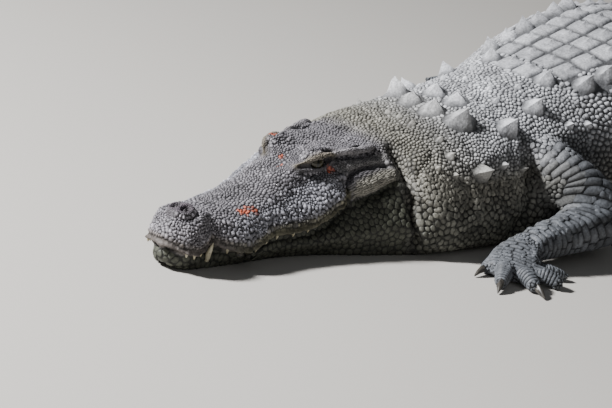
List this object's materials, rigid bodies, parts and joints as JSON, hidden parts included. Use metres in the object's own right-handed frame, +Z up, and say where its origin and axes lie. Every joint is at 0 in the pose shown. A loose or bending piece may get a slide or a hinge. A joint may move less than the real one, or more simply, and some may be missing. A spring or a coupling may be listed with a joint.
{
  "type": "nile crocodile",
  "caption": "Full-grown crocodile lying flat on its belly, head on the ground and turned a little to its left, as a still life-size display model.",
  "frame": {"origin": "on the floor, under the middle of the trunk", "axes": "+X from the snout towards the tail, along the middle of the trunk; +Z up; the animal's left side faces -Y"},
  "size_m": [4.1475, 1.2597, 0.4001],
  "materials": {
    "hide": "dry scaled hide, pale grey scales over darker grey skin, matte",
    "head_hide": "knobbly grey-mauve head skin with paler specks, matte with a faint sheen",
    "jaw_hide": "smoother olive-grey jaw and throat skin, matte; the teeth on it are worn ivory",
    "eye": "dark olive iris with an upright slit pupil, wet and glossy",
    "claw": "dark grey horn, worn and slightly glossy"
  },
  "bodies": {
    "root": {"belly": "hide", "chest": "hide", "claw_foot_left_1": "claw", "claw_foot_left_2": "claw", "claw_foot_left_3": "claw", "claw_foot_right_1": "claw", "claw_foot_right_2": "claw", "claw_foot_right_3": "claw", "claw_hand_left_1": "claw", "claw_hand_left_2": "claw", "claw_hand_left_3": "claw", "claw_hand_right_1": "claw", "claw_hand_right_2": "claw", "claw_hand_right_3": "claw", "eye_left": "eye", "eye_right": "eye", "foot_left": "hide", "foot_right": "hide", "forearm_left": "hide", "forearm_right": "hide", "hand_left": "hide", "hand_right": "hide", "head": "head_hide", "lower_jaw": "jaw_hide", "neck": "hide", "shank_left": "hide", "shank_right": "hide", "tail_1": "hide", "tail_2": "hide", "tail_3": "hide", "tail_4": "hide", "tail_5": "hide", "thigh_left": "hide", "thigh_right": "hide", "upper_arm_left": "hide", "upper_arm_right": "hide"}
  },
  "joints": []
}
